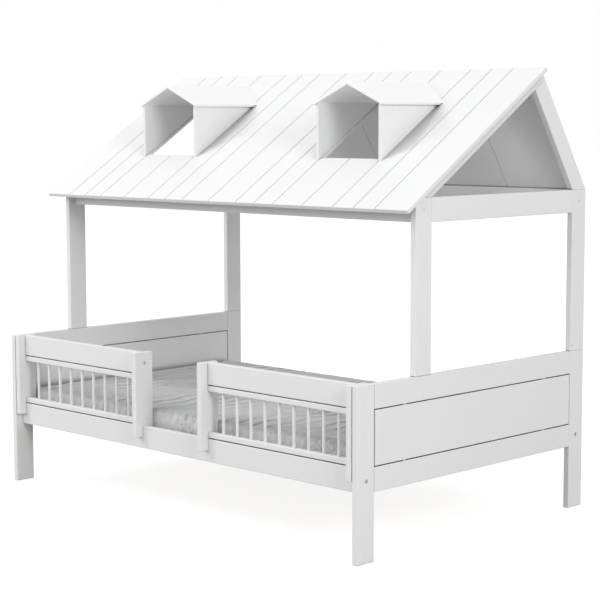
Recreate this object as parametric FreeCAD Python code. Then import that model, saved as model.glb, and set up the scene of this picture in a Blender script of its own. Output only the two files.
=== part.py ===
import FreeCAD, Part
import math
import os

# House frame bed: a low bed with a guard rail in front and a half-depth house standing on its end boards.
# Millimetres. X runs along the length, -Y is the front with the way in, +Z is up.
# The origin is on the floor, under the middle of the bed.

# Driving dimensions: bed frame
bed_length = 2080.0
bed_width = 1360.0
end_height = 650.0
timber_thickness = 26.0
leg_width = 90.0
rail_height = 92.0
rail_underside = 256.0
panel_gap = 3.0
edge_radius = 3.0
fit_clearance = 0.3

# Driving dimensions: guard rails
guard_length = 824.0
guard_end_gap = 4.0
guard_lug_depth = 34.0
guard_lug_drop = 46.0
guard_upright_depth = 90.0
guard_board_height = 88.0
spindle_rail_height = 22.0
spindle_rail_gap = 4.0
spindle_diameter = 12.0
spindle_count = 9
spindle_tenon = 11.0

# Driving dimensions: bed base and mattress
slat_count = 14
slat_width = 90.0
slat_thickness = 18.0
slat_end_gap = 2.0
slat_margin = 15.0
ledger_width = 24.0
ledger_height = 26.0
mattress_end_gap = 19.0
mattress_side_gap = 0.5
mattress_thickness = 114.0
mattress_crown = 9.0
mattress_shoulder = 24.0
mattress_round = 18.0
mattress_toe = 9.0
mattress_bulge = 6.0
mattress_lift = 0.3
channel_count = 26
channel_depth = 3.0

# Driving dimensions: house
house_depth = 1050.0
eave_height = 1305.0
front_pitch = 32.8
front_rafter_depth = 40.0
roof_board_thickness = 16.0
gable_overhang = 26.0
eave_overhang = 78.0
roof_panel_count = 4
wide_board_share = 1.5
groove_width = 5.0
groove_depth = 4.0
rear_panel_thickness = 12.0
rear_panel_inset = 36.0
rear_panel_housing = 6.0
rear_panel_count = 2
rear_boards_in_panel = 3
thin_edge_radius = 1.5

# Driving dimensions: dormers
dormer_setback = 180.0
dormer_sill = 12.0
dormer_ridge_drop = 52.0
dormer_pitch = 23.6
dormer_wall = 12.0
dormer_board = 12.0
dormer_side_overhang = 16.5
dormer_front_overhang = 8.0

# Driving dimensions: fasteners
leg_bolt_diameter = 8.0
leg_bolt_length = 100.0
leg_bolt_head_diameter = 13.0
leg_bolt_head_height = 7.0
leg_bolt_head_depth = 10.0
leg_bolt_counterbore = 16.0
leg_bolt_socket = 7.0
barrel_nut_diameter = 14.0
barrel_nut_length = 20.0
barrel_nut_setback = 40.0
guard_bolt_diameter = 6.0
guard_bolt_length = 62.0
guard_bolt_head_diameter = 11.0
guard_bolt_head_height = 4.0
guard_bolt_head_depth = 6.0
guard_bolt_counterbore = 14.0
guard_bolt_socket = 5.0
eave_screw_diameter = 6.0
eave_screw_length = 64.0
eave_screw_head_diameter = 12.0
eave_screw_head_height = 4.0
eave_screw_socket = 5.0
socket_share = 0.6
cam_diameter = 15.0
cam_depth = 18.0
cam_height = 20.0
cam_edge_distance = 13.0
cam_pin_diameter = 7.0
cam_pin_grip = 34.0
dowel_diameter = 12.0
dowel_length = 40.0
dowel_inset = 169.0
bore_allowance = 0.1
head_inset = 0.5
cut_past = 1.0

# Worked out from the driving dimensions
half_length = bed_length / 2
half_width = bed_width / 2
inner_x = half_length - timber_thickness
mid_x = half_length - timber_thickness / 2
rail_top = rail_underside + rail_height
rail_mid_z = rail_underside + rail_height / 2
leg_inner_y = half_width - leg_width
side_rail_front_y = half_width - guard_lug_depth
side_rail_back_y = side_rail_front_y - timber_thickness
side_rail_mid_y = side_rail_front_y - timber_thickness / 2
house_front_y = half_width - house_depth
slat_underside = rail_underside + ledger_height
slat_top = slat_underside + slat_thickness
tie_underside = eave_height - rail_height
mattress_half_length = inner_x - mattress_end_gap
mattress_half_width = half_width - guard_upright_depth - mattress_side_gap

os.makedirs("parts", exist_ok=True)


# Building blocks

def block(x0, x1, y0, y1, z0, z1):
    """A box between two corners, given as pairs of limits."""
    low = FreeCAD.Vector(min(x0, x1), min(y0, y1), min(z0, z1))
    return Part.makeBox(abs(x1 - x0), abs(y1 - y0), abs(z1 - z0), low)


def eased(solid, radius):
    """The solid with every edge rounded."""
    return solid.makeFillet(radius, solid.Edges)


def board(x0, x1, y0, y1, z0, z1):
    """A planed board of the bed, with its edges rounded."""
    return eased(block(x0, x1, y0, y1, z0, z1), edge_radius)


def rod(diameter, start, end):
    """A round rod between two points."""
    path = FreeCAD.Vector(*end) - FreeCAD.Vector(*start)
    return Part.makeCylinder(diameter / 2, path.Length, FreeCAD.Vector(*start), path)


def hex_socket(across, depth, crown, inward, y, z):
    """The hexagon socket in a head along X. crown is the head's outer face, inward the driver's way."""
    centre = FreeCAD.Vector(crown, y, z)
    corner = FreeCAD.Vector(0, across / 2, 0)
    turns = [FreeCAD.Rotation(FreeCAD.Vector(1, 0, 0), 60 * i) for i in range(7)]
    outline = Part.makePolygon([centre + turn.multVec(corner) for turn in turns])
    return Part.Face(outline).extrude(FreeCAD.Vector(inward * depth, 0, 0))


def save(name, *solids):
    """Writes one node, which is one solid or a group of alike solids."""
    shape = solids[0] if len(solids) == 1 else Part.makeCompound(list(solids))
    shape.exportStep("parts/" + name + ".step")


ends = (("left", -1), ("right", 1))


# Fasteners, and the bores that take them

def leg_bolt(side, y):
    """A socket-head bolt through a leg into the end of a side rail, with its hexagon socket."""
    seat = half_length - leg_bolt_head_depth
    crown = seat + leg_bolt_head_height
    tip = seat - leg_bolt_length
    head = rod(leg_bolt_head_diameter, (side * seat, y, rail_mid_z), (side * crown, y, rail_mid_z))
    shank = rod(leg_bolt_diameter, (side * seat, y, rail_mid_z), (side * tip, y, rail_mid_z))
    depth = leg_bolt_head_height * socket_share
    socket = hex_socket(leg_bolt_socket, depth, side * crown, -side, y, rail_mid_z)
    return head.fuse(shank).removeSplitter().cut(socket)


def leg_bolt_bore(side, y):
    """The counterbore in the leg and the long bore into the side rail."""
    seat = half_length - leg_bolt_head_depth
    outside = half_length + cut_past
    wide = rod(leg_bolt_counterbore, (side * seat, y, rail_mid_z), (side * outside, y, rail_mid_z))
    tip = seat - leg_bolt_length - fit_clearance
    bore = leg_bolt_diameter + 2 * bore_allowance
    return wide.fuse(rod(bore, (side * seat, y, rail_mid_z), (side * tip, y, rail_mid_z)))


def barrel_nut(side, row):
    """A cross nut, let into the inner face of a side rail. row is -1 in front and 1 at the back."""
    x = side * (inner_x - barrel_nut_setback)
    inner = row * (side_rail_back_y + head_inset)
    outer = row * (side_rail_back_y + head_inset + barrel_nut_length)
    body = rod(barrel_nut_diameter, (x, inner, rail_mid_z), (x, outer, rail_mid_z))
    return body.cut(leg_bolt_bore(side, row * side_rail_mid_y))


def barrel_nut_bore(side, row):
    """The blind hole for a barrel nut, open on the rail's inner face."""
    x = side * (inner_x - barrel_nut_setback)
    inner = row * (side_rail_back_y - cut_past)
    outer = row * (side_rail_back_y + head_inset + barrel_nut_length)
    return rod(barrel_nut_diameter + 2 * bore_allowance, (x, inner, rail_mid_z), (x, outer, rail_mid_z))


def cam_y_positions(row):
    """The two cam places across the foot of a house post."""
    front, back = post_limits(row)
    return (front + cam_edge_distance, back - cam_edge_distance)


def cam_disc(side, y):
    """A cam disc in the outer face of a post, slotted for its pin."""
    z = end_height + cam_height
    outer = half_length - head_inset
    disc = rod(cam_diameter, (side * outer, y, z), (side * (outer - cam_depth), y, z))
    return disc.cut(cam_pin_bore(side, y))


def cam_bore(side, y):
    """The blind hole for a cam disc."""
    z = end_height + cam_height
    inner = half_length - head_inset - cam_depth
    outside = half_length + cut_past
    return rod(cam_diameter + 2 * bore_allowance, (side * outside, y, z), (side * inner, y, z))


def cam_pin(side, y):
    """An upright steel pin from an end board up into a cam disc."""
    foot = end_height - cam_pin_grip
    return rod(cam_pin_diameter, (side * mid_x, y, foot), (side * mid_x, y, end_height + cam_height))


def cam_pin_bore(side, y):
    """The bore for a cam pin, in the end board and in the post's foot."""
    foot = end_height - cam_pin_grip
    bore = cam_pin_diameter + 2 * bore_allowance
    return rod(bore, (side * mid_x, y, foot), (side * mid_x, y, end_height + cam_height))


def end_dowel(side, y, z, allowance=0.0):
    """A dowel across one of the open slots of an end board, or with an allowance its hole."""
    half = dowel_length / 2
    return rod(dowel_diameter + 2 * allowance, (side * mid_x, y, z - half), (side * mid_x, y, z + half))


def slot_heights():
    """The middles of the two open slots of an end board."""
    lower = rail_top + panel_gap / 2
    upper = end_height - rail_height - panel_gap / 2
    return (lower, upper)


def end_dowel_places():
    """Every dowel's y and z in one end board."""
    y = leg_inner_y - dowel_inset
    return [(row * y, z) for row in (-1, 1) for z in slot_heights()]


# House posts: where they stand

def post_limits(row):
    """The front and back of a house post. row is -1 for the front pair and 1 for the rear pair."""
    if row < 0:
        return (house_front_y, house_front_y + leg_width)
    return (leg_inner_y, half_width)


def post_middle_y(row):
    """The middle of a house post, where its eave beam meets it."""
    return sum(post_limits(row)) / 2


# End boards

def end_boards():
    """Both end boards, each of two legs, two rails and a panel between open slots."""
    for end, side in ends:
        outer, inner = side * half_length, side * inner_x
        for row_name, row in (("front", -1), ("rear", 1)):
            leg = board(inner, outer, row * leg_inner_y, row * half_width, 0, end_height)
            leg = leg.cut(leg_bolt_bore(side, row * side_rail_mid_y))
            if row > 0:
                for y in cam_y_positions(row):
                    leg = leg.cut(cam_pin_bore(side, y))
            save("leg_" + row_name + "_" + end, leg)

        top = board(inner, outer, -leg_inner_y, leg_inner_y, end_height - rail_height, end_height)
        for y in cam_y_positions(-1):
            top = top.cut(cam_pin_bore(side, y))
        bottom = board(inner, outer, -leg_inner_y, leg_inner_y, rail_underside, rail_top)
        panel_y = leg_inner_y - panel_gap
        panel_top = end_height - rail_height - panel_gap
        panel = board(inner, outer, -panel_y, panel_y, rail_top + panel_gap, panel_top)
        pieces = {"end_top_rail_": top, "end_panel_": panel, "end_bottom_rail_": bottom}
        for name, piece in pieces.items():
            for y, z in end_dowel_places():
                piece = piece.cut(end_dowel(side, y, z, bore_allowance))
            save(name + end, piece)
    save("end_panel_dowels", *[end_dowel(side, y, z) for end, side in ends for y, z in end_dowel_places()])


# Side rails, ledgers and slats

def bed_base():
    """The side rails with their ledgers and bolts, and the slats that lie on the ledgers."""
    for row_name, row in (("front", -1), ("rear", 1)):
        near, far = row * side_rail_back_y, row * side_rail_front_y
        rail = board(-inner_x, inner_x, near, far, rail_underside, rail_top)
        for end, side in ends:
            rail = rail.cut(leg_bolt_bore(side, row * side_rail_mid_y))
            rail = rail.cut(barrel_nut_bore(side, row))
        save("side_rail_" + row_name, rail)
        ledger_edge = row * (side_rail_back_y - ledger_width)
        ledger = block(-inner_x, inner_x, near, ledger_edge, rail_underside, slat_underside)
        save("slat_ledger_" + row_name, ledger)

    first = -inner_x + slat_margin
    pitch = (2 * inner_x - 2 * slat_margin - slat_width) / (slat_count - 1)
    slat_y = side_rail_back_y - slat_end_gap
    places = [first + pitch * i for i in range(slat_count)]
    slats = [block(x, x + slat_width, -slat_y, slat_y, slat_underside, slat_top) for x in places]
    save("bed_slats", *[eased(slat, thin_edge_radius) for slat in slats])

    places = [(side, row) for end, side in ends for row in (-1, 1)]
    save("bed_bolts", *[leg_bolt(side, row * side_rail_mid_y) for side, row in places])
    save("barrel_nuts", *[barrel_nut(side, row) for side, row in places])


# Guard rails

def guard_upright(x0, x1):
    """An upright notched over the side rail, with a lug in front of the rail and one behind it."""
    front, back = -half_width, -half_width + guard_upright_depth
    foot = rail_top - guard_lug_drop
    notch_front = -side_rail_front_y - fit_clearance
    notch_back = -side_rail_back_y + fit_clearance
    notch = block(x0 - cut_past, x1 + cut_past, notch_front, notch_back, foot - cut_past, rail_top)
    return board(x0, x1, front, back, foot, end_height).cut(notch)


def guard_bolt(outer, inward):
    """A connecting bolt from an upright's outer face into the end of the top board."""
    y, z = -side_rail_mid_y, end_height - guard_board_height / 2
    seat = outer + inward * guard_bolt_head_depth
    crown = seat - inward * guard_bolt_head_height
    head = rod(guard_bolt_head_diameter, (seat, y, z), (crown, y, z))
    shank = rod(guard_bolt_diameter, (seat, y, z), (seat + inward * guard_bolt_length, y, z))
    depth = guard_bolt_head_height * socket_share
    return head.fuse(shank).removeSplitter().cut(hex_socket(guard_bolt_socket, depth, crown, inward, y, z))


def guard_bolt_bore(outer, inward):
    """The counterbore and bore for a connecting bolt."""
    y, z = -side_rail_mid_y, end_height - guard_board_height / 2
    seat = outer + inward * guard_bolt_head_depth
    wide = rod(guard_bolt_counterbore, (outer - inward * cut_past, y, z), (seat, y, z))
    bore = guard_bolt_diameter + 2 * bore_allowance
    return wide.fuse(rod(bore, (seat, y, z), (seat + inward * (guard_bolt_length + fit_clearance), y, z)))


def guard(end, side):
    """One guard rail, between two uprights. The outer upright is beside a leg."""
    outer = side * (inner_x - guard_end_gap)
    gate = outer - side * guard_length
    inside_outer = outer - side * timber_thickness
    inside_gate = gate + side * timber_thickness
    bolt_places = ((outer, -side), (gate, side))
    y0, y1 = -side_rail_front_y, -side_rail_back_y

    uprights = {"outer": guard_upright(min(outer, inside_outer), max(outer, inside_outer)),
                "inner": guard_upright(min(gate, inside_gate), max(gate, inside_gate))}
    top_board = board(inside_gate, inside_outer, y0, y1, end_height - guard_board_height, end_height)
    for (place, inward), name in zip(bolt_places, ("outer", "inner")):
        bore = guard_bolt_bore(place, inward)
        uprights[name] = uprights[name].cut(bore)
        top_board = top_board.cut(bore)
        save("guard_" + end + "_post_" + name, uprights[name])
    save("guard_" + end + "_board", top_board)
    save("guard_" + end + "_bolts", *[guard_bolt(place, inward) for place, inward in bolt_places])

    lower_z = rail_top + spindle_rail_gap
    upper_z = end_height - guard_board_height - spindle_rail_gap - spindle_rail_height
    pitch = (inside_outer - inside_gate) / (spindle_count + 1)
    places = [inside_gate + pitch * (i + 1) for i in range(spindle_count)]
    foot = lower_z + spindle_rail_height - spindle_tenon
    head = upper_z + spindle_tenon
    y = -side_rail_mid_y
    hole = spindle_diameter + 2 * bore_allowance
    holes = Part.makeCompound([rod(hole, (x, y, foot), (x, y, head)) for x in places])
    rails = [board(inside_gate, inside_outer, y0, y1, z, z + spindle_rail_height).cut(holes)
             for z in (lower_z, upper_z)]
    save("guard_" + end + "_spindle_rails", *rails)
    save("guard_" + end + "_spindles", *[rod(spindle_diameter, (x, y, foot), (x, y, head)) for x in places])


# Mattress

def mattress_section(x, inset, dip):
    """One slice across the mattress: flat below, drawn-in sides, round shoulders and a crowned top."""
    bottom = slat_top + mattress_lift + inset
    top = slat_top + mattress_lift + mattress_thickness - inset - dip
    bulge = mattress_half_width - inset - dip / 2
    side = bulge - mattress_bulge
    edge = top - mattress_crown
    toe, shoulder = mattress_toe, mattress_shoulder
    cut_corner = 1 - math.sqrt(0.5)

    def at(y, z):
        return FreeCAD.Vector(x, y, z)

    back = [at(side - toe, bottom), at(side - toe * cut_corner, bottom + toe * cut_corner),
            at(side, bottom + toe), at(bulge, (bottom + edge) / 2), at(side, edge - shoulder),
            at(side - shoulder * cut_corner, edge - shoulder * cut_corner), at(side - shoulder, edge)]
    front = [at(-point.y, point.z) for point in back]
    arcs = [Part.Arc(half[i], half[i + 1], half[i + 2]) for half in (back, front) for i in (0, 2, 4)]
    edges = [arc.toShape() for arc in arcs]
    edges.append(Part.Arc(back[-1], at(0, top), front[-1]).toShape())
    edges.append(Part.LineSegment(back[0], front[0]).toShape())
    return Part.Wire(Part.__sortEdges__(edges))


def mattress():
    """The whole cushion, with quilted channels across its top and rounded ends."""
    turns = [math.radians(angle) for angle in (90, 60, 30, 0)]
    insets = [mattress_round * (1 - math.cos(turn)) for turn in turns]
    places = [mattress_round * (1 - math.sin(turn)) - mattress_half_length for turn in turns]
    low_end = [mattress_section(x, inset, 0) for x, inset in zip(places, insets)]
    high_end = [mattress_section(-x, inset, 0) for x, inset in reversed(list(zip(places, insets)))]
    run = 2 * (mattress_half_length - mattress_round)
    half_pitch = run / channel_count / 2
    middle = [mattress_section(half_pitch * i - run / 2, 0, channel_depth * (i % 2 == 0))
              for i in range(1, 2 * channel_count)]
    save("mattress", Part.makeLoft(low_end + middle + high_end, True, True))


# House frame. The two slopes meet at a right angle, so the roof has its own square axes: u climbs the
# front slope, v stands square to it, and both are zero where the rafters' inner edges meet.

pitch_angle = math.radians(front_pitch)
front_foot_y = house_front_y + leg_width
rear_foot_y = leg_inner_y
apex_y = (front_foot_y * math.tan(pitch_angle) + rear_foot_y / math.tan(pitch_angle)) \
    / (math.tan(pitch_angle) + 1 / math.tan(pitch_angle))
apex_z = eave_height + (apex_y - front_foot_y) * math.tan(pitch_angle)
rear_rafter_depth = leg_width * math.cos(pitch_angle)
roof_top_v = front_rafter_depth + roof_board_thickness
eave_y = house_front_y - eave_overhang
eave_u = (eave_y - apex_y + roof_top_v * math.sin(pitch_angle)) / math.cos(pitch_angle)
ridge_u = rear_rafter_depth
ridge_z = apex_z + ridge_u * math.sin(pitch_angle) + roof_top_v * math.cos(pitch_angle)
roof_reach = 2 * (ridge_u - eave_u)
roof_half_x = half_length + gable_overhang
roof_placement = FreeCAD.Placement(FreeCAD.Vector(0, apex_y, apex_z),
                                   FreeCAD.Rotation(FreeCAD.Vector(1, 0, 0), front_pitch))


def in_roof(solid):
    """Moves a solid drawn in the roof's own axes into its place."""
    solid.Placement = roof_placement.multiply(solid.Placement)
    return solid


def roof_block(x0, x1, u0, u1, v0, v1, radius=0.0):
    """A box in the roof's own axes, with rounded edges where a radius is given."""
    solid = block(x0, x1, u0, u1, v0, v1)
    return in_roof(eased(solid, radius) if radius else solid)


def above(z):
    """All the space above a height."""
    return block(-bed_length, bed_length, -roof_reach, roof_reach, z, z + roof_reach)


def rear_panel_limits():
    """The two faces of the rear roof panels, measured up the front slope."""
    return (rear_panel_inset, rear_panel_inset + rear_panel_thickness)


def house_frame():
    """Posts, tie beams, eave beams and rafters, with the fasteners that hold them."""
    far = roof_reach
    under_boards = roof_block(-bed_length, bed_length, -far, far, -far, front_rafter_depth)
    u0, u1 = rear_panel_limits()
    reach = inner_x + rear_panel_housing + fit_clearance
    housing = roof_block(-reach, reach, u0 - fit_clearance, u1 + fit_clearance, -far, front_rafter_depth)
    for end, side in ends:
        inner, outer = side * inner_x, side * half_length
        for row_name, row in (("front", -1), ("rear", 1)):
            y0, y1 = post_limits(row)
            post = board(inner, outer, y0, y1, end_height, eave_height).common(under_boards)
            for y in cam_y_positions(row):
                post = post.cut(cam_pin_bore(side, y)).cut(cam_bore(side, y))
            save("house_post_" + row_name + "_" + end, post.cut(eave_screw_bore(side, row)))
        save("tie_beam_" + end, board(inner, outer, front_foot_y, rear_foot_y, tie_underside, eave_height))
        front = roof_block(inner, outer, -roof_reach, ridge_u, 0, front_rafter_depth, edge_radius)
        save("rafter_front_" + end, front.common(above(eave_height)).cut(housing))
        rear = roof_block(inner, outer, 0, rear_rafter_depth, -roof_reach, 0, edge_radius)
        save("rafter_rear_" + end, rear.common(above(eave_height)).cut(housing))

    for row_name, row in (("front", -1), ("rear", 1)):
        middle = post_middle_y(row)
        y0, y1 = middle - timber_thickness / 2, middle + timber_thickness / 2
        top = eave_height + 2 * timber_thickness if row < 0 else eave_height
        beam = board(-inner_x, inner_x, y0, y1, tie_underside, top).common(under_boards)
        for end, side in ends:
            beam = beam.cut(eave_screw_bore(side, row))
        save("eave_beam_" + row_name, beam)

    places = [(side, row) for end, side in ends for row in (-1, 1)]
    cams = [(side, y) for side, row in places for y in cam_y_positions(row)]
    save("eave_screws", *[eave_screw(side, row) for side, row in places])
    save("cam_discs", *[cam_disc(side, y) for side, y in cams])
    save("cam_pins", *[cam_pin(side, y) for side, y in cams])


def eave_screw(side, row):
    """A screw through a post into the end of an eave beam, its head just below the surface."""
    y, z = post_middle_y(row), eave_height - rail_height / 2
    crown = half_length - head_inset
    seat = crown - eave_screw_head_height
    head = rod(eave_screw_head_diameter, (side * seat, y, z), (side * crown, y, z))
    shank = rod(eave_screw_diameter, (side * seat, y, z), (side * (seat - eave_screw_length), y, z))
    depth = eave_screw_head_height * socket_share
    socket = hex_socket(eave_screw_socket, depth, side * crown, -side, y, z)
    return head.fuse(shank).removeSplitter().cut(socket)


def eave_screw_bore(side, row):
    """The counterbore in a post's outer face and the bore into the eave beam."""
    y, z = post_middle_y(row), eave_height - rail_height / 2
    seat = half_length - head_inset - eave_screw_head_height
    tip = seat - eave_screw_length - fit_clearance
    recess = eave_screw_head_diameter + 2 * bore_allowance
    wide = rod(recess, (side * seat, y, z), (side * (half_length + cut_past), y, z))
    bore = eave_screw_diameter + 2 * bore_allowance
    return wide.fuse(rod(bore, (side * seat, y, z), (side * tip, y, z)))


# Dormers

roof_panel_width = 2 * roof_half_x / roof_panel_count
narrow_board = roof_panel_width / (2 * (1 + wide_board_share))
wide_board = narrow_board * wide_board_share
dormer_half_opening = wide_board
dormer_middles = (("left", -roof_panel_width), ("right", roof_panel_width))
dormer_front_y = house_front_y + dormer_setback
dormer_angle = math.radians(dormer_pitch)
dormer_ridge_z = ridge_z - dormer_ridge_drop
dormer_under_ridge = dormer_ridge_z - dormer_board / math.cos(dormer_angle)
dormer_half_roof = dormer_half_opening + dormer_wall + dormer_side_overhang


def under_dormer_roof(middle, half, front_y):
    """The space below a dormer's roof boards, as wide as asked and running back from a front face."""
    shoulder = dormer_under_ridge - half * math.tan(dormer_angle)
    outline = [(middle - half, eave_height), (middle + half, eave_height), (middle + half, shoulder),
               (middle, dormer_under_ridge), (middle - half, shoulder), (middle - half, eave_height)]
    face = Part.Face(Part.makePolygon([FreeCAD.Vector(x, front_y, z) for x, z in outline]))
    return face.extrude(FreeCAD.Vector(0, roof_reach, 0))


def dormer_wall_solid(middle, side):
    """A triangular cheek, standing on the main roof beside the opening."""
    inner = middle + side * dormer_half_opening
    outer = inner + side * dormer_wall
    wall = block(inner, outer, dormer_front_y, roof_reach, eave_height, dormer_ridge_z)
    wall = wall.common(under_dormer_roof(middle, dormer_half_opening + dormer_wall, dormer_front_y))
    return wall.common(above_main_roof())


def dormer_slope(middle, side):
    """One of a dormer's two roof boards, mitred at the ridge and cut to the main roof behind."""
    drop = side * dormer_pitch
    long_edge = dormer_half_roof / math.cos(dormer_angle)
    front = dormer_front_y - dormer_front_overhang
    slab = eased(block(-long_edge, long_edge, 0, roof_reach, -dormer_board, 0), thin_edge_radius)
    slab.Placement = FreeCAD.Placement(FreeCAD.Vector(middle, front, dormer_ridge_z),
                                       FreeCAD.Rotation(FreeCAD.Vector(0, 1, 0), drop))
    half = block(middle, middle + side * 2 * long_edge, front - cut_past, roof_reach, eave_height,
                 dormer_ridge_z + cut_past)
    return slab.common(half).common(above_main_roof())


def above_main_roof():
    """All the space above the front slope's boards."""
    return roof_block(-bed_length, bed_length, -roof_reach, roof_reach, roof_top_v, roof_top_v + roof_reach)


def dormers():
    """Both dormers, each of two cheeks and two roof boards."""
    for name, middle in dormer_middles:
        for end, side in ends:
            save("dormer_" + name + "_wall_" + end, dormer_wall_solid(middle, side))
            save("dormer_" + name + "_roof_" + end, dormer_slope(middle, side))


# Roof panels

def front_groove_cutter(x):
    """A V groove down the front slope, in its top face."""
    half = groove_width / 2
    face_v = roof_top_v
    corners = [(x - half, face_v), (x + half, face_v), (x, face_v - groove_depth), (x - half, face_v)]
    face = Part.Face(Part.makePolygon([FreeCAD.Vector(px, -roof_reach, pv) for px, pv in corners]))
    return in_roof(face.extrude(FreeCAD.Vector(0, 2 * roof_reach, 0)))


def front_roof():
    """The front slope's grooved panels, cut open under the dormers."""
    opening_front = dormer_front_y + dormer_sill
    middles = [middle for name, middle in dormer_middles]
    openings = [under_dormer_roof(middle, dormer_half_opening, opening_front) for middle in middles]
    for number in range(roof_panel_count):
        x = -roof_half_x + roof_panel_width * number
        right = x + roof_panel_width
        panel = roof_block(x, right, eave_u, ridge_u, front_rafter_depth, roof_top_v, thin_edge_radius)
        joints = (0, wide_board, wide_board + narrow_board, wide_board + 2 * narrow_board, roof_panel_width)
        for joint in joints:
            if abs(x + joint) < roof_half_x - groove_width:
                panel = panel.cut(front_groove_cutter(x + joint))
        for opening in openings:
            panel = panel.cut(opening)
        save("roof_panel_front_" + str(number + 1), panel)


def rear_groove_cutter(x):
    """A V groove down the rear slope, in the face seen from inside."""
    half = groove_width / 2
    face_u = rear_panel_limits()[0]
    corners = [(x - half, face_u), (x + half, face_u), (x, face_u + groove_depth), (x - half, face_u)]
    face = Part.Face(Part.makePolygon([FreeCAD.Vector(px, pu, -roof_reach) for px, pu in corners]))
    return in_roof(face.extrude(FreeCAD.Vector(0, 0, 2 * roof_reach)))


def rear_roof():
    """The rear slope's panels, let into the rafters at each end."""
    u0, u1 = rear_panel_limits()
    reach = inner_x + rear_panel_housing
    width = 2 * reach / rear_panel_count
    line_pitch = 2 * inner_x / (rear_panel_count * rear_boards_in_panel)
    lines = [-inner_x + line_pitch * i for i in range(1, rear_panel_count * rear_boards_in_panel)]
    for number in range(rear_panel_count):
        x = -reach + width * number
        panel = roof_block(x, x + width, u0, u1, -roof_reach, front_rafter_depth)
        panel = panel.common(above(eave_height))
        for line in lines:
            panel = panel.cut(rear_groove_cutter(line))
        save("roof_panel_rear_" + str(number + 1), panel)


end_boards()
bed_base()
for end_name, end_side in ends:
    guard(end_name, end_side)
mattress()
house_frame()
front_roof()
rear_roof()
dormers()
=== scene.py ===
import math

import bmesh
import bpy
import numpy as np
from mathutils import Matrix, Vector, noise


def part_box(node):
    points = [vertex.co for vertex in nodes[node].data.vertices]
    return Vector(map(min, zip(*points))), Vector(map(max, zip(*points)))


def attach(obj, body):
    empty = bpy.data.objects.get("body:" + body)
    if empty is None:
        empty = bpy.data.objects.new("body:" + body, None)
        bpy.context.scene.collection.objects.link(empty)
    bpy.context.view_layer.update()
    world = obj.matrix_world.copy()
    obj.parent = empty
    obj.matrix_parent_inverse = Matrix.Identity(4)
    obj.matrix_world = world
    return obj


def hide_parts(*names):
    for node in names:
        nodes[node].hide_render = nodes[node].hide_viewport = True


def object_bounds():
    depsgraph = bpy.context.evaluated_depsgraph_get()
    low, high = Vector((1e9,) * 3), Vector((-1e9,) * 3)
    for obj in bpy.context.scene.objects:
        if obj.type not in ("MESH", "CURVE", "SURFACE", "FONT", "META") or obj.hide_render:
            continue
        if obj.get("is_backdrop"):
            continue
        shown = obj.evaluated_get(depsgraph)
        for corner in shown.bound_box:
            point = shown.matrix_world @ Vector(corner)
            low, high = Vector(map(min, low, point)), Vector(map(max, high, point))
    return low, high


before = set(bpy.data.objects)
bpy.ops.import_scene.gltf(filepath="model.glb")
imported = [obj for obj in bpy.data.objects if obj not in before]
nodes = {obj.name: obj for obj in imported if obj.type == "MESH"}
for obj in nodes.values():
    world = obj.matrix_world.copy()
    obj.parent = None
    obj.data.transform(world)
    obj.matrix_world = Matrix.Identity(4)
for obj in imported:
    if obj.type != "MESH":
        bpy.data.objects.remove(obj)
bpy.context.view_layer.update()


# ---------------------------------------------------------------- bed frame
# Legs, end boards and side rails: planed pine boards with softly rounded edges, sprayed with a white satin
# lacquer that lets a trace of the grain through. The long grain runs along each board, and shade is painted
# into the colour in the grooves and where boards meet.

grain_turns = {
    "x": (0, 0, 0),
    "y": (0, 0, math.radians(90)),
    "z": (0, math.radians(90), 0),
}


def feed(tree, node, inputs):
    """Gives a node's inputs, by name or number, either a value or a link from an output."""
    for label, source in inputs.items():
        if isinstance(source, bpy.types.NodeSocket):
            tree.links.new(source, node.inputs[label])
        else:
            node.inputs[label].default_value = source


def add(tree, kind, inputs, **settings):
    """Adds a shader node of one kind, with its settings and its inputs. Returns its outputs."""
    node = tree.nodes.new("ShaderNode" + kind)
    for setting, value in settings.items():
        setattr(node, setting, value)
    feed(tree, node, inputs)
    return node.outputs


def calculate(tree, operation, *values):
    """The result of one Math node on its values or outputs."""
    return add(tree, "Math", dict(enumerate(values)), operation=operation)[0]


def new_group(name, inputs, outputs):
    """An empty node group with named inputs (name, type, default) and outputs (name, type).

    Returns the group, what it is given, and the node that its results leave by.
    """
    group = bpy.data.node_groups.new(name, "ShaderNodeTree")
    for label, kind, default in inputs:
        socket = group.interface.new_socket(label, in_out="INPUT", socket_type="NodeSocket" + kind)
        socket.default_value = default
    for label, kind in outputs:
        group.interface.new_socket(label, in_out="OUTPUT", socket_type="NodeSocket" + kind)
    entry = group.nodes.new("NodeGroupInput")
    leave = group.nodes.new("NodeGroupOutput")
    return group, entry.outputs, leave


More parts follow.
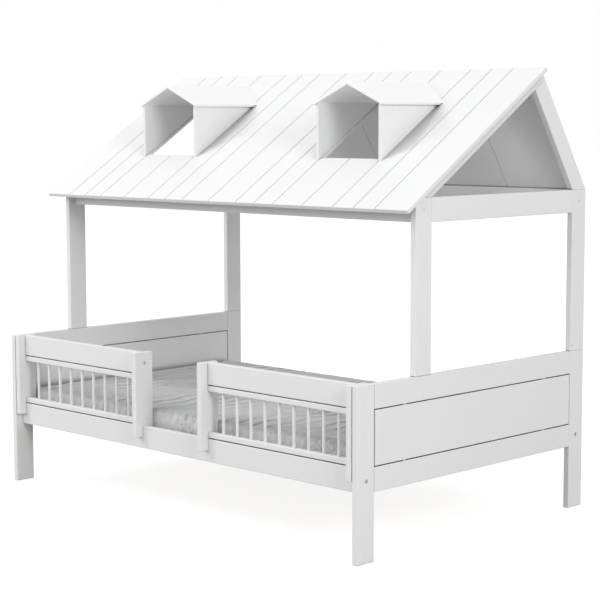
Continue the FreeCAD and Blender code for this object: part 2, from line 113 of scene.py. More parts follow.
def build_lacquer_grain():
    """Grain trace, spray texture and soft tone change of a lacquered board, turned to lie along the board."""
    group, given, leave = new_group("lacquer_grain",
                                    [("Turn", "Vector", (0, 0, 0))],
                                    [("Shade", "Float"), ("Gloss", "Float"), ("Height", "Float")])
    place = add(group, "TexCoord", {})["Object"]
    turned = add(group, "Mapping", {"Vector": place, "Rotation": given["Turn"]})["Vector"]

    # long fibres: noise drawn out along the board
    drawn = add(group, "Mapping", {"Vector": turned, "Scale": (1.6, 46, 46)})["Vector"]
    fibres = add(group, "TexNoise", {"Vector": drawn, "Scale": 3.2, "Detail": 5, "Roughness": 0.62,
                                     "Distortion": 0.35})["Fac"]

    # year rings: wide bands that wander along the board
    slow = add(group, "Mapping", {"Vector": turned, "Scale": (0.35, 1, 1)})["Vector"]
    rings = add(group, "TexWave", {"Vector": slow, "Scale": 9, "Distortion": 5.5, "Detail": 2,
                                   "Detail Scale": 0.6}, wave_type="BANDS", bands_direction="Y")["Fac"]

    # the fine orange peel of the sprayed lacquer, and large soft patches where its sheen differs
    spray = add(group, "TexNoise", {"Vector": place, "Scale": 420, "Detail": 2})["Fac"]
    patches = add(group, "TexNoise", {"Vector": place, "Scale": 5.5, "Detail": 3})["Fac"]

    fibre_share, ring_share, patch_share, spray_share = 0.65, 0.35, 0.45, 0.3
    wood = calculate(group, "MULTIPLY_ADD", fibres, fibre_share,
                     calculate(group, "MULTIPLY", rings, ring_share))
    gloss = add(group, "MapRange", {"Value": patches, "From Min": 0.3, "From Max": 0.7,
                                    "To Min": 0.33, "To Max": 0.45})["Result"]
    feed(group, leave, {"Shade": calculate(group, "MULTIPLY_ADD", patches, patch_share, wood),
                        "Gloss": gloss,
                        "Height": calculate(group, "MULTIPLY_ADD", spray, spray_share, wood)})
    return group


def build_crease_shade():
    """Paints shade into a colour by how little space lies open before it: fully at Closed, not at all at
    Clear.
    """
    group, given, leave = new_group("painted_crease_shade",
                                    [("Colour", "Color", (1, 1, 1, 1)), ("Open", "Float", 1.0),
                                     ("Closed", "Float", 0.0), ("Clear", "Float", 1.0),
                                     ("Dark", "Float", 0.0)],
                                    [("Colour", "Color")])
    shade = add(group, "MapRange", {"Value": given["Open"], "From Min": given["Closed"],
                                    "From Max": given["Clear"], "To Min": given["Dark"],
                                    "To Max": 1.0})["Result"]
    shaded = add(group, "Mix", {"A": given["Colour"], "B": shade, "Factor": 1.0},
                 data_type="RGBA", blend_type="MULTIPLY")["Result"]
    feed(group, leave, {"Colour": shaded})
    return group


lacquer_grain = build_lacquer_grain()
painted_crease_shade = build_crease_shade()
crease_rays = 12
lacquer_white = (0.81, 0.812, 0.814, 1)
lacquer_shade = (0.79, 0.793, 0.797, 1)


def new_material(name):
    """A material with one shader linked to its output. Returns the material, its node tree and the shader."""
    material = bpy.data.materials.new(name)
    material.use_nodes = True
    return material, material.node_tree, material.node_tree.nodes["Principled BSDF"]


def lacquer(name, turn, tones=(lacquer_white, lacquer_shade), reach=0.016, closed=0.08, clear=0.62,
            dark=0.10):
    """White satin lacquer on wood, with shade painted in where other faces lie within reach, in metres."""
    material, tree, shader = new_material(name)
    grain = add(tree, "Group", {"Turn": turn}, node_tree=lacquer_grain)
    tone = add(tree, "Mix", {"A": tones[0], "B": tones[1], "Factor": grain["Shade"]},
               data_type="RGBA")["Result"]
    # painted shade: the colour is darkened where other faces lie close before the surface
    space = add(tree, "AmbientOcclusion", {"Distance": reach}, samples=crease_rays)["AO"]
    crease_shaded = add(tree, "Group", {"Colour": tone, "Open": space, "Closed": closed, "Clear": clear,
                                  "Dark": dark}, node_tree=painted_crease_shade)["Colour"]
    bump = add(tree, "Bump", {"Strength": 0.12, "Distance": 0.0004, "Height": grain["Height"]})["Normal"]
    feed(tree, shader, {"Base Color": crease_shaded, "Roughness": grain["Gloss"], "Normal": bump,
                        "Specular IOR Level": 0.45})
    return material


def finish_nodes(material, names):
    """Gives pieces of the frame their finish."""
    for name in names:
        for place in nodes[name].material_slots:
            place.material = material


sides = ("left", "right")
# painted shade in the creases of legs and rails, down to their dark value
lacquer_x = lacquer("lacquer_along_x", grain_turns["x"], dark=0.35)
lacquer_z = lacquer("lacquer_upright", grain_turns["z"], dark=0.45)
finish_nodes(lacquer_z, ["leg_%s_%s" % (row, side) for row in ("front", "rear") for side in sides])
finish_nodes(lacquer_x, ["side_rail_front", "side_rail_rear"])

# painted shade makes the open slots above and below the end boards' panels the darkest lines on the bed
slotted = lacquer("lacquer_end_boards", grain_turns["y"], reach=0.040, closed=0.32, clear=0.86, dark=0.02)
for piece in ("top_rail", "panel", "bottom_rail"):
    finish_nodes(slotted, ["end_%s_%s" % (piece, side) for side in sides])


# ---------------------------------------------------------------- slats and ledgers
# The bed base that the mattress hides: bare planed pine slats, laid across on two pine ledgers that are fixed
# inside the side rails.

def build_bare_wood():
    """Planed softwood: year rings and fibres, turned to lie along the piece."""
    group, given, leave = new_group("bare_wood",
                                    [("Turn", "Vector", (0, 0, 0))],
                                    [("Ring", "Float"), ("Height", "Float")])
    place = add(group, "TexCoord", {})["Object"]
    turned = add(group, "Mapping", {"Vector": place, "Rotation": given["Turn"]})["Vector"]
    drawn = add(group, "Mapping", {"Vector": turned, "Scale": (0.5, 6, 6)})["Vector"]
    rings = add(group, "TexWave", {"Vector": drawn, "Scale": 3, "Distortion": 7, "Detail": 3,
                                   "Detail Scale": 1.2}, bands_direction="Y")["Fac"]
    fine = add(group, "Mapping", {"Vector": turned, "Scale": (3, 160, 160)})["Vector"]
    fibres = add(group, "TexNoise", {"Vector": fine, "Scale": 3, "Detail": 6})["Fac"]
    ring_share, fibre_share = 0.6, 0.5
    wood = calculate(group, "MULTIPLY_ADD", rings, ring_share,
                     calculate(group, "MULTIPLY", fibres, fibre_share))
    feed(group, leave, {"Ring": wood, "Height": fibres})
    return group


bare_wood = build_bare_wood()


def untreated(name, turn, pale, dark):
    """Untreated wood with its long grain along the piece."""
    material, tree, shader = new_material(name)
    wood = add(tree, "Group", {"Turn": turn}, node_tree=bare_wood)
    tone = add(tree, "Mix", {"A": pale, "B": dark, "Factor": wood["Ring"]}, data_type="RGBA")["Result"]
    bump = add(tree, "Bump", {"Strength": 0.25, "Distance": 0.0008, "Height": wood["Height"]})["Normal"]
    feed(tree, shader, {"Base Color": tone, "Normal": bump, "Roughness": 0.62})
    return material


pine_pale = (0.71, 0.53, 0.34, 1)
pine_dark = (0.52, 0.34, 0.18, 1)
finish_nodes(untreated("pine_across", grain_turns["y"], pine_pale, pine_dark), ["bed_slats"])
pine_along = untreated("pine_along", grain_turns["x"], pine_pale, pine_dark)
finish_nodes(pine_along, ["slat_ledger_front", "slat_ledger_rear"])


# ---------------------------------------------------------------- end boards' dowels
# Pale birch dowels glued into the end boards' panels and rails, four to a board. A disc on each keeps the
# slot between panel and rail open, and shows in it as a light break.

birch_pale = (0.84, 0.81, 0.77, 1)
birch_dark = (0.76, 0.72, 0.66, 1)
birch = untreated("birch_upright", grain_turns["z"], birch_pale, birch_dark)
dowel_radius = 0.006
dowel_length = 0.040
dowel_ease = 0.001
spacer_radius = 0.0105
rod_sides = 40
smooth_below = math.radians(40)
near_level = 0.9
near_end = 0.4


def deselect():
    """Leaves nothing selected and no object active."""
    bpy.ops.object.select_all(action="DESELECT")
    bpy.context.view_layer.objects.active = None


def settle(piece):
    """Puts a finished piece's object at the origin, with its place in its mesh."""
    deselect()
    piece.select_set(True)
    bpy.context.view_layer.objects.active = piece
    bpy.ops.object.transform_apply(location=True, rotation=True, scale=True)


def set_material(piece, material):
    """Gives a new piece its one material."""
    piece.data.materials.clear()
    piece.data.materials.append(material)


def own_copy(piece, name, move):
    """Another of the same piece, with a mesh of its own, moved from the first."""
    other = piece.copy()
    other.data = piece.data.copy()
    other.name = name
    other.data.name = name
    other.data.transform(Matrix.Translation(move))
    bpy.context.collection.objects.link(other)
    return other


dowel_low, dowel_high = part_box("end_panel_dowels")
panel_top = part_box("end_panel_right")[1].z
rail_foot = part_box("end_top_rail_right")[0].z
slot_height = rail_foot - panel_top
dowel_x = dowel_high.x - dowel_radius
dowel_y = dowel_high.y - dowel_radius
dowel_z = dowel_high.z - dowel_length / 2
deselect()
bpy.ops.mesh.primitive_cylinder_add(vertices=rod_sides, radius=spacer_radius, depth=slot_height,
                                    location=(dowel_x, dowel_y, dowel_z))
dowel = bpy.context.object
dowel.name = "spacer_dowel_1"
bpy.ops.object.mode_set(mode="EDIT")
bpy.ops.mesh.select_mode(type="FACE")
bpy.ops.mesh.select_all(action="DESELECT")
bpy.ops.object.mode_set(mode="OBJECT")
for upward in (1, -1):
    for face in dowel.data.polygons:
        at_end = face.center.z * upward > slot_height * near_end
        face.select = face.normal.z * upward > near_level and at_end
    pull = upward * (dowel_length - slot_height) / 2
    bpy.ops.object.mode_set(mode="EDIT")
    bpy.ops.mesh.inset(thickness=spacer_radius - dowel_radius, depth=0)
    bpy.ops.mesh.extrude_region_move(TRANSFORM_OT_translate={"value": (0, 0, pull)})
    bpy.ops.mesh.inset(thickness=dowel_ease, depth=dowel_ease)
    bpy.ops.mesh.select_all(action="DESELECT")
    bpy.ops.object.mode_set(mode="OBJECT")
bpy.ops.object.shade_smooth_by_angle(angle=smooth_below)
settle(dowel)
set_material(dowel, birch)
slot_drop = dowel_high.z - dowel_low.z - dowel_length
moves = [(-x, -y, -z) for x in (0, 2 * dowel_x) for y in (0, 2 * dowel_y) for z in (0, slot_drop)]
dowels = [dowel] + [own_copy(dowel, "spacer_dowel_%d" % (i + 1), moves[i]) for i in range(1, len(moves))]
for dowel in dowels:
    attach(dowel, "bed")
    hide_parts("end_panel_dowels")


# ---------------------------------------------------------------- guard rails
# Two low guard rails of lacquered boards, each with uprights notched over the side rail. Their nine spindles
# are turned beech rods, lacquered white, with eased shoulders where they enter the two slim rails.

for side in sides:
    finish_nodes(lacquer_x, ["guard_%s_board" % side, "guard_%s_spindle_rails" % side])
    finish_nodes(lacquer_z, ["guard_%s_post_inner" % side, "guard_%s_post_outer" % side])

spindle_count = 9
spindle_radius = 0.006
spindle_ease = 0.0012
ease_steps = 3
same_height = 1e-6

for side in sides:
    low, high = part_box("guard_%s_spindles" % side)
    middle = (low + high) / 2
    deselect()
    bpy.ops.mesh.primitive_cylinder_add(vertices=rod_sides, radius=spindle_radius, depth=high.z - low.z,
                                        location=(low.x + spindle_radius, middle.y, middle.z))
    first = bpy.context.object
    first.name = "spindle_%s_1" % side
    bpy.ops.object.mode_set(mode="EDIT")
    bpy.ops.mesh.select_all(action="DESELECT")
    bpy.ops.object.mode_set(mode="OBJECT")
    for edge in first.data.edges:
        a, b = (first.data.vertices[i].co for i in edge.vertices)
        edge.select = abs(a.z - b.z) < same_height
    bpy.ops.object.mode_set(mode="EDIT")
    bpy.ops.mesh.select_mode(type="EDGE")
    bpy.ops.mesh.bevel(offset=spindle_ease, segments=ease_steps, affect="EDGES")
    bpy.ops.object.mode_set(mode="OBJECT")
    bpy.ops.object.shade_smooth_by_angle(angle=smooth_below)
    settle(first)
    set_material(first, lacquer_z)
    pitch = (high.x - low.x - 2 * spindle_radius) / (spindle_count - 1)
    rods = [first] + [own_copy(first, "spindle_%s_%d" % (side, i + 1), (pitch * i, 0, 0))
                      for i in range(1, spindle_count)]
    for rod in rods:
        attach(rod, "guard_" + side)
        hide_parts("guard_%s_spindles" % side)


# ---------------------------------------------------------------- bolts, screws and pins
# Plated steel: zinc on the leg bolts, their barrel nuts and the cam pins, nickel on the socket-head bolts of
# the guard uprights and on the screws into the eave beams. The plating is a little dull and streaked.

def build_rubbed_plating():
    """Fine rubbed streaks and dull spots of a plated surface, between two colours and two roughnesses."""
    group, given, leave = new_group("rubbed_plating",
                                    [("Bright", "Color", (1, 1, 1, 1)), ("Dull", "Color", (1, 1, 1, 1)),
                                     ("Smoothest", "Float", 0.3), ("Roughest", "Float", 0.5)],
                                    [("Colour", "Color"), ("Roughness", "Float"), ("Height", "Float")])
    place = add(group, "TexCoord", {})["Object"]
    rub = add(group, "TexNoise", {"Vector": place, "Scale": 900, "Detail": 3})["Fac"]
    spots = add(group, "TexNoise", {"Vector": place, "Scale": 160})["Fac"]
    tone = add(group, "Mix", {"A": given["Bright"], "B": given["Dull"], "Factor": spots},
               data_type="RGBA")["Result"]
    spread = add(group, "MapRange", {"Value": spots, "To Min": given["Smoothest"],
                                     "To Max": given["Roughest"]})["Result"]
    feed(group, leave, {"Colour": tone, "Roughness": spread, "Height": rub})
    return group


rubbed_plating = build_rubbed_plating()
dulling = 0.86
smoother, rougher = 0.08, 0.12


def plated(name, colour, roughness, metal):
    """Plated or coated metal with fine rubbed streaks and dull spots."""
    material, tree, shader = new_material(name)
    dull = tuple(c * dulling for c in colour[:3]) + (1,)
    plating = add(tree, "Group", {"Bright": colour, "Dull": dull, "Smoothest": roughness - smoother,
                                  "Roughest": roughness + rougher}, node_tree=rubbed_plating)
    bump = add(tree, "Bump", {"Strength": 0.12, "Distance": 0.0002, "Height": plating["Height"]})["Normal"]
    feed(tree, shader, {"Base Color": plating["Colour"], "Roughness": plating["Roughness"],
                        "Normal": bump, "Metallic": metal})
    return material


steel = plated("zinc_plated_steel", (0.62, 0.62, 0.63, 1), 0.34, 1.0)
bright_steel = plated("nickel_plated_steel", (0.78, 0.78, 0.79, 1), 0.48, 0.75)
coated_steel = plated("nickel_plated_caps", (0.74, 0.74, 0.74, 1), 0.42, 0.6)
finish_nodes(steel, ["bed_bolts", "barrel_nuts", "cam_pins"])
finish_nodes(bright_steel, ["guard_left_bolts", "guard_right_bolts"])
finish_nodes(coated_steel, ["eave_screws"])


# ---------------------------------------------------------------- cam discs
# Die-cast zinc discs in the feet of the house posts, with a cross recess for the screwdriver and a raised
# rim. Turned, each draws its pin tight and clamps the post to the end board.

cast_zinc = plated("cast_zinc", (0.76, 0.76, 0.755, 1), 0.42, 0.6)
finish_nodes(cast_zinc, ["cam_discs"])


# ---------------------------------------------------------------- mattress
# A foam mattress in a slack quilted knit cover, light grey. Its top lies in long wavy folds across the width,
# and its border, painted paler than the top as painted light, is drawn into short upright gathers. Small
# curled marks are embossed here and there.

mattress_low, mattress_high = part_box("mattress")
voxel = 0.012
end_gap = 0.001
front_gap = 0.0035
top_gap = 0.0015
front_shoulder = 0.026
front_steps = 5
back_shoulder = 0.007
back_steps = 2

# the folds on top: their distance, how they bend, and how each rises slowly and drops steeply
fold_pitch = 0.075
fold_bend = 0.010
long_bend, short_bend = 0.46, 0.21
bend_drift, drift_length = 1.6, 0.83
short_share, short_drift = 0.6, 9.0
fold_rise = ((0.0, 0.45, 0.80, 0.90, 1.0), (0.0, 0.12, 0.72, 1.0, 0.0))
fold_height = 0.0038
fold_middle = 0.35

# the border's gathers
gather_pitch = 0.052
gather_shift, gather_drift = 0.012, 17.0
gather_depth = 0.0085
gather_at_foot = 0.35
gather_foot, gather_climb = 0.045, 0.05


def fold_place(x, y):
    """Counts the wavy folds along the mattress: a whole number at the foot of each fold's steep side."""
    drift = bend_drift * np.sin(2 * np.pi * x / drift_length)
    bend = fold_bend * np.sin(2 * np.pi * y / long_bend + drift)
    bend = bend + short_share * fold_bend * np.sin(2 * np.pi * y / short_bend + short_drift * x)
    return (x + bend) / fold_pitch


def gather_distance(x, y):
    """How far a point of the border is from the nearest gather, along the border."""
    round_trip = np.where(np.abs(x) / mattress_high.x > np.abs(y) / mattress_high.y, y, x)
    along = (round_trip + gather_shift * np.sin(round_trip * gather_drift)) / gather_pitch
    return np.abs(along - np.round(along)) * gather_pitch


def ease(value):
    """Runs smoothly from 0 to 1 as the value does."""
    value = np.clip(value, 0, 1)
    return value * value * (3 - 2 * value)


def noise_at(points, scale, layer=0.0):
    """Smooth noise at each point, stretched by a scale along each axis, on a layer of its own."""
    stretched = [(x * scale[0], y * scale[1], z * scale[2] + layer) for x, y, z in points]
    return np.array([noise.noise(Vector(place)) for place in stretched])


def points_of(mesh):
    """A mesh's vertices as an array."""
    flat = np.empty(len(mesh.vertices) * 3)
    mesh.vertices.foreach_get("co", flat)
    return flat.reshape(-1, 3)


def put_points(mesh, points):
    """Moves a mesh's vertices to the points of an array."""
    mesh.vertices.foreach_set("co", points.ravel())
    mesh.update()


def bevel_where(piece, wanted, width, segments):
    """Rounds the edges of a piece whose two ends pass the test."""
    bpy.ops.object.mode_set(mode="EDIT")
    bpy.ops.mesh.select_mode(type="EDGE")
    bpy.ops.mesh.select_all(action="DESELECT")
    bpy.ops.object.mode_set(mode="OBJECT")
    for edge in piece.data.edges:
        edge.select = wanted(*(piece.data.vertices[i].co for i in edge.vertices))
    bpy.ops.object.mode_set(mode="EDIT")
    bpy.ops.mesh.bevel(offset=width, segments=segments, affect="EDGES")
    bpy.ops.object.mode_set(mode="OBJECT")


# a block a little smaller than the mattress, with a round front shoulder, in an even mesh
start_low = Vector((mattress_low.x + end_gap, mattress_low.y + front_gap, mattress_low.z))
start_high = Vector((mattress_high.x - end_gap, mattress_high.y - end_gap, mattress_high.z - top_gap))
deselect()
bpy.ops.mesh.primitive_cube_add(size=1, location=(start_low + start_high) / 2, scale=start_high - start_low)
mattress = bpy.context.object
mattress.name = "mattress_cover"
settle(mattress)
touch = 0.001
back_band = 0.03
upright_edge = 0.05
top_line = start_high.z - touch
front_line = start_low.y + touch
back_line = start_high.y - back_band
bevel_where(mattress, lambda a, b: abs(a.z - b.z) > upright_edge, front_shoulder, front_steps)
bevel_where(mattress, lambda a, b: min(a.z, b.z) > top_line and max(a.y, b.y) < front_line,
            front_shoulder, front_steps)
bevel_where(mattress, lambda a, b: min(a.z, b.z) > top_line and min(a.y, b.y) > back_line,
            back_shoulder, back_steps)
remesh = mattress.modifiers.new("Even mesh", "REMESH")
remesh.mode = "VOXEL"
remesh.voxel_size = voxel
bpy.ops.object.modifier_apply(modifier=remesh.name)

# the cover is held under the mattress and at the foot of each fold, and less firmly at each gather
bottom_band, top_band = 0.004, 0.008
fold_hold, gather_hold = voxel * 0.52, voxel * 0.5
gather_weight = 0.8
rest = points_of(mattress.data)
on_bottom = rest[:, 2] < mattress_low.z + bottom_band
on_top = rest[:, 2] > start_high.z - top_band
to_fold = fold_place(rest[:, 0], rest[:, 1])
at_fold = on_top & (np.abs(to_fold - np.round(to_fold)) * fold_pitch < fold_hold)
at_gather = ~on_top & ~on_bottom & (gather_distance(rest[:, 0], rest[:, 1]) < gather_hold)
held = mattress.vertex_groups.new(name="held")
held.add([int(i) for i in np.flatnonzero(on_bottom | at_fold)], 1.0, "REPLACE")
held.add([int(i) for i in np.flatnonzero(at_gather)], gather_weight, "REPLACE")

# the cover swells over its foam: freely on the front border, hardly where it lies against the frame
calm_band = 0.05
top_swell, border_swell = 0.003, 0.010
cloth_steps = 20
least_push = 1e-9
cloth = mattress.modifiers.new("Cover", "CLOTH")
cloth.settings.quality = 4
cloth.settings.mass = 0.25
cloth.settings.tension_stiffness = 12
cloth.settings.compression_stiffness = 12
cloth.settings.shear_stiffness = 6
cloth.settings.bending_stiffness = 0.6
cloth.settings.use_pressure = True
cloth.settings.uniform_pressure_force = 4
cloth.settings.shrink_min = -0.035
cloth.settings.vertex_group_mass = held.name
cloth.settings.effector_weights.gravity = 0
for step in range(1, cloth_steps + 1):
    bpy.context.scene.frame_set(step)
bpy.ops.object.modifier_apply(modifier=cloth.name)
bpy.context.scene.frame_set(1)
push = points_of(mattress.data) - rest
size = np.maximum(np.linalg.norm(push, axis=1), least_push)
to_edge = np.minimum(start_high.y - rest[:, 1], start_high.x - np.abs(rest[:, 0]))
cap = np.where(on_top, top_swell, border_swell) * ease(to_edge / calm_band)
put_points(mattress.data, rest + push * (np.minimum(size, cap) / size)[:, None])

finer = mattress.modifiers.new("Finer", "SUBSURF")
finer.levels = finer.render_levels = 1
bpy.ops.object.modifier_apply(modifier=finer.name)

# the slack on top: folds that are deep in some places and shallow in others, over a fine unevenness
cover = points_of(mattress.data)
x, y, z = cover.T
rough = noise_at(cover, (3.4, 3.1, 0), layer=3.7)
small = noise_at(cover, (24, 6.5, 9))
crown_drop, crown_blend = 0.016, 0.010
depth_mean, depth_swing, depth_least = 0.45, 2.6, 0.06
top_ripple = 0.0011
to_edge = np.minimum(start_high.y - y, start_high.x - np.abs(x))
flat_top = ease((z - start_high.z + crown_drop) / crown_blend) * ease(to_edge / calm_band)
fold_depth = flat_top * np.clip(depth_mean + depth_swing * rough, depth_least, 1.0)
fold_count = fold_place(x, y)
fold_shape = np.interp(fold_count - np.floor(fold_count), *fold_rise)
cover[:, 2] += fold_depth * fold_height * (fold_shape - fold_middle) + flat_top * top_ripple * small

# the slack in front: puffs between gathers that are wide at the mouth, tight at the seam and deep higher up
front_band, front_blend, foot_blend = 0.020, 0.015, 0.02
wide_share, tight_share = 0.6, 0.4
wide_power, tight_power = 1.5, 5
border_stand, border_ripple = 0.0030, 0.0010
front_face = ease((start_low.y + front_band - y) / front_blend) * ease((z - mattress_low.z) / foot_blend)
seam = 1 - np.cos(np.pi * gather_distance(x, y) / gather_pitch) ** 2
high_up = ease((z - mattress_low.z - gather_foot) / gather_climb)
gather = wide_share * seam ** wide_power + tight_share * seam ** tight_power
drawn_in = gather_depth * gather * (gather_at_foot + (1 - gather_at_foot) * high_up)
cover[:, 1] += front_face * (drawn_in - border_stand + border_ripple * small)

# nothing of it reaches into the guard rails' uprights, the end boards or the slats
front_bulge = 0.0085
upright_spans = ((0.178, 0.220), (0.972, 1.020))
upright_blend = 0.030
near_upright = np.zeros(len(cover))
for span_low, span_high in upright_spans:
    outside = np.maximum(np.maximum(span_low - np.abs(x), np.abs(x) - span_high), 0)
    near_upright = np.maximum(near_upright, 1 - ease(outside / upright_blend))
front_reach = -mattress_low.y + front_bulge * (1 - near_upright)
cover[:, 1] = np.clip(cover[:, 1], -front_reach, mattress_high.y)
cover[:, 0] = np.clip(cover[:, 0], mattress_low.x, mattress_high.x)
cover[:, 2] = np.maximum(cover[:, 2], mattress_low.z)
put_points(mattress.data, cover)

for name, values in (("fold", fold_count), ("fold_depth", fold_depth)):
    layer = mattress.data.attributes.new(name, "FLOAT", "POINT")
    layer.data.foreach_set("value", values.astype(np.float32))

# the flat underside needs no small faces
flat_within = 1e-5
most_corners = 4
shape = bmesh.new()
shape.from_mesh(mattress.data)
under = [f for f in shape.faces if max(v.co.z for v in f.verts) < mattress_low.z + flat_within]
bmesh.ops.dissolve_faces(shape, faces=under)
bmesh.ops.triangulate(shape, faces=[f for f in shape.faces if len(f.verts) > most_corners])
shape.to_mesh(mattress.data)
shape.free()
for face in mattress.data.polygons:
    face.use_smooth = True

# painted light and shade: the border is painted paler than the top, and the two darker colours are painted
# shade
top_knit = (0.50, 0.503, 0.51, 1)
border_knit = (0.64, 0.643, 0.65, 1)
shaded_knit = (0.31, 0.313, 0.32, 1)
shade_between_loops = (0.86, 0.86, 0.865, 1)


def quilted_knit():
    """Light grey knit: ribbed loops with painted shade between, embossed marks, and folds with painted shade
    at their foot.
    """
    material, tree, shader = new_material("quilted_knit")
    place = add(tree, "TexCoord", {})["Object"]

    # the knit: small loops in ribs
    loops = add(tree, "TexVoronoi", {"Vector": place, "Scale": 520}, feature="SMOOTH_F1")["Distance"]
    ribs = add(tree, "TexWave", {"Vector": place, "Scale": 150, "Distortion": 0.8},
               bands_direction="X")["Fac"]
    loop_share = 0.35
    texture = calculate(tree, "MULTIPLY_ADD", loops, loop_share, ribs)
    knitted = add(tree, "Bump", {"Strength": 0.22, "Distance": 0.0005, "Height": texture})["Normal"]

    # embossed patches: lines where a broad noise passes its middle, pressed in only here and there
    curl = add(tree, "TexNoise", {"Vector": place, "Scale": 46, "Detail": 0, "Distortion": 0.9})["Fac"]
    noise_middle = 0.5
    from_line = calculate(tree, "ABSOLUTE", calculate(tree, "SUBTRACT", curl, noise_middle))
    mark = add(tree, "MapRange", {"Value": from_line, "From Min": 0.042, "From Max": 0.015},
               interpolation_type="SMOOTHSTEP")["Result"]
    spots = add(tree, "TexNoise", {"Vector": place, "Scale": 9, "Detail": 0})["Fac"]
    patch = add(tree, "MapRange", {"Value": spots, "From Min": 0.58, "From Max": 0.62},
                interpolation_type="SMOOTHSTEP")["Result"]
    emboss = calculate(tree, "MULTIPLY", mark, patch)
    pressed = add(tree, "Bump", {"Strength": 0.6, "Distance": 0.0022, "Height": emboss, "Normal": knitted},
                  invert=True)["Normal"]

    # the folds, as the mesh has them
    strength = add(tree, "Attribute", {}, attribute_name="fold_depth")["Fac"]
    count = add(tree, "Attribute", {}, attribute_name="fold")["Fac"]
    within = calculate(tree, "FRACT", count)
    rise = add(tree, "ValToRGB", {"Fac": within})["Color"]
    ramp = rise.node.color_ramp
    ramp.interpolation = "EASE"
    for stop, along in zip(ramp.elements, (fold_rise[0][0], fold_rise[0][-1])):
        stop.position = along
        stop.color = (0, 0, 0, 1)
    for along, lifted in tuple(zip(*fold_rise))[1:-1]:
        ramp.elements.new(along).color = (lifted, lifted, lifted, 1)
    crest = calculate(tree, "MULTIPLY", rise, strength)
    folded = add(tree, "Bump", {"Strength": 1.0, "Distance": fold_height, "Height": crest,
                                "Normal": pressed})["Normal"]

    # tone: the border painted paler than the top as painted light, painted shade at each fold's foot, and a
    # fainter painted shade in the marks
    height = add(tree, "SeparateXYZ", {"Vector": place})["Z"]
    above = add(tree, "MapRange", {"Value": height, "From Min": start_high.z - crown_drop,
                                   "From Max": start_high.z - crown_drop + crown_blend})["Result"]
    panels = add(tree, "Mix", {"A": border_knit, "B": top_knit, "Factor": above},
                 data_type="RGBA")["Result"]
    # painted shade: a thin dark band at the foot of each fold, and a fainter one in the pressed-in marks
    foot = add(tree, "MapRange", {"Value": within, "From Min": 0.95, "From Max": 1.0},
               interpolation_type="SMOOTHSTEP")["Result"]
    mark_share = 0.55
    shade = calculate(tree, "MAXIMUM", calculate(tree, "MULTIPLY", foot, strength),
                      calculate(tree, "MULTIPLY", emboss, mark_share))
    tone = add(tree, "Mix", {"A": panels, "B": shaded_knit, "Factor": shade}, data_type="RGBA")["Result"]
    # painted shade: the cloth is darker between the knit's loops
    loop_shaded = add(tree, "Mix", {"A": tone, "B": shade_between_loops, "Factor": loops},
                 data_type="RGBA", blend_type="MULTIPLY")["Result"]
    feed(tree, shader, {"Base Color": loop_shaded, "Normal": folded, "Roughness": 0.72,
                        "Sheen Weight": 0.25, "Sheen Roughness": 0.45})
    return material


set_material(mattress, quilted_knit())
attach(mattress, "mattress")
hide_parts("mattress")


# ---------------------------------------------------------------- house posts and beams
# Flat posts standing on the end boards, tie beams across the gables and eave beams along front and back, all
# of the same lacquered board.

lacquer_y = lacquer("lacquer_along_y", grain_turns["y"])
finish_nodes(lacquer_z, ["house_post_%s_%s" % (row, side) for row in ("front", "rear") for side in sides])
finish_nodes(lacquer_y, ["tie_beam_" + side for side in sides])
finish_nodes(lacquer_x, ["eave_beam_front", "eave_beam_rear"])


# ---------------------------------------------------------------- roof
# Grooved boards joined into four panels on the long front slope, and two thin panels let into the rafters of
# the steep rear one, all lacquered white. The two slopes meet at a right angle.

# painted shade lies in the grooves between the boards, and widely beside the dormers as a painted shadow
front_boards = lacquer("lacquer_front_slope", grain_turns["y"], reach=0.140, closed=0.20, clear=0.92,
                       dark=0.14)
finish_nodes(front_boards, ["roof_panel_front_%d" % i for i in (1, 2, 3, 4)])

# the front rafters lie under the overhanging edge of the roof, and its shade is painted on them
under_edge = lacquer("lacquer_front_rafters", grain_turns["y"], reach=0.060, closed=0.45, clear=0.95,
                     dark=0.35)
finish_nodes(under_edge, ["rafter_front_" + side for side in sides])

rear_boards = lacquer("lacquer_rear_slope", grain_turns["z"])
finish_nodes(rear_boards, ["roof_panel_rear_1", "roof_panel_rear_2"])
finish_nodes(rear_boards, ["rafter_rear_" + side for side in sides])


# ---------------------------------------------------------------- dormers
# Two small dormers on the front slope, each of two triangular walls and two mitred roof boards, glued up and
# lacquered. Their roof boards are painted a lighter white than the rest, as painted light.

# painted light: the dormers' roof boards are painted whiter than the other boards
painted_light_white = (0.90, 0.902, 0.904, 1)
dormer_boards = lacquer("lacquer_dormer_roofs", grain_turns["y"], tones=(painted_light_white, painted_light_white))
for dormer in sides:
    finish_nodes(lacquer_z, ["dormer_%s_wall_%s" % (dormer, side) for side in sides])
    finish_nodes(dormer_boards, ["dormer_%s_roof_%s" % (dormer, side) for side in sides])


# ---------------------------------------------------------------- floor, light and camera
# A pale studio floor that runs to the horizon, a bright even sky, and four square lamps: two high on the
# left, one on the right and one in front. The camera has the photograph's viewing angle and a long lens.

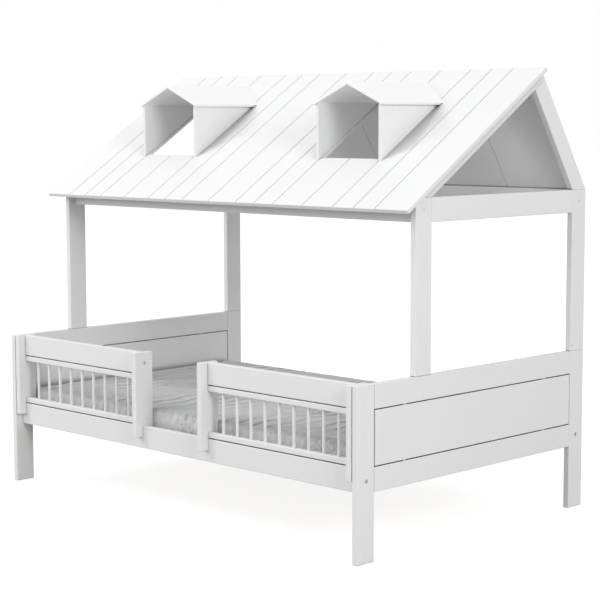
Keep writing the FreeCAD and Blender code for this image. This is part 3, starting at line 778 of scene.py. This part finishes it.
floor_reach = 60.0
floor_drop = 0.0005
floor_grey = (0.36, 0.36, 0.36, 1)
floor_glow = 0.85
deselect()
bpy.ops.mesh.primitive_plane_add(size=2 * floor_reach, location=(0, 0, -floor_drop))
floor = bpy.context.object
floor.name = "studio_floor"
floor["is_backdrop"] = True
pale, tree, shader = new_material("pale_floor")
feed(tree, shader, {"Base Color": floor_grey, "Roughness": 0.8, "Specular IOR Level": 0.0})
rays = add(tree, "LightPath", {})
seen = calculate(tree, "MAXIMUM", rays["Is Camera Ray"], rays["Is Glossy Ray"])
glow = add(tree, "Emission", {"Strength": calculate(tree, "MULTIPLY", seen, floor_glow)})["Emission"]
both = add(tree, "AddShader", {0: shader.outputs["BSDF"], 1: glow})["Shader"]
feed(tree, tree.nodes["Material Output"], {"Surface": both})
set_material(floor, pale)

sky_on_the_bed = 0.72
sky_as_seen = 1.0
world = bpy.data.worlds.new("studio")
bpy.context.scene.world = world
world.use_nodes = True
tree = world.node_tree
rays = add(tree, "LightPath", {})
seen = calculate(tree, "MAXIMUM", rays["Is Camera Ray"], rays["Is Transmission Ray"])
level = add(tree, "MapRange", {"Value": seen, "To Min": sky_on_the_bed, "To Max": sky_as_seen})["Result"]
feed(tree, tree.nodes["Background"], {"Color": (1, 1, 1, 1), "Strength": level})


def softbox(name, place, aim, size, power):
    """A square lamp of a size in metres and a power in watts, turned to face a point."""
    lamp = bpy.data.lights.new(name, "AREA")
    lamp.shape = "SQUARE"
    lamp.size = size
    lamp.energy = power
    holder = bpy.data.objects.new(name, lamp)
    holder.location = place
    holder.rotation_euler = (Vector(aim) - Vector(place)).to_track_quat("-Z", "Y").to_euler()
    bpy.context.collection.objects.link(holder)


softbox("key_softbox", (-4.9, -4.9, 5.0), (0, 0, 0.8), 1.6, 110)
softbox("high_key_softbox", (-2.2, -2.9, 7.8), (0, 0, 0.8), 1.0, 105)
softbox("right_softbox", (6.8, -2.2, 3.4), (0, 0, 0.9), 2.0, 182)
softbox("front_softbox", (-2.5, -7.8, 3.0), (0, 0, 0.8), 2.0, 100)

camera_place = (5.015, -4.953, 1.583)
camera_turn = math.radians(44.896)
camera_dip = math.radians(6.114)
camera_lean = math.radians(0.13)
camera = bpy.data.cameras.new("photograph")
camera.lens = 100.31
camera.sensor_width = 36
viewer = bpy.data.objects.new("photograph", camera)
viewer.location = camera_place
viewer.rotation_euler = (math.pi / 2 - camera_dip, camera_lean, camera_turn)
bpy.context.collection.objects.link(viewer)
bpy.context.scene.camera = viewer
bpy.context.scene.view_settings.view_transform = "Standard"

deselect()
low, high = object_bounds()
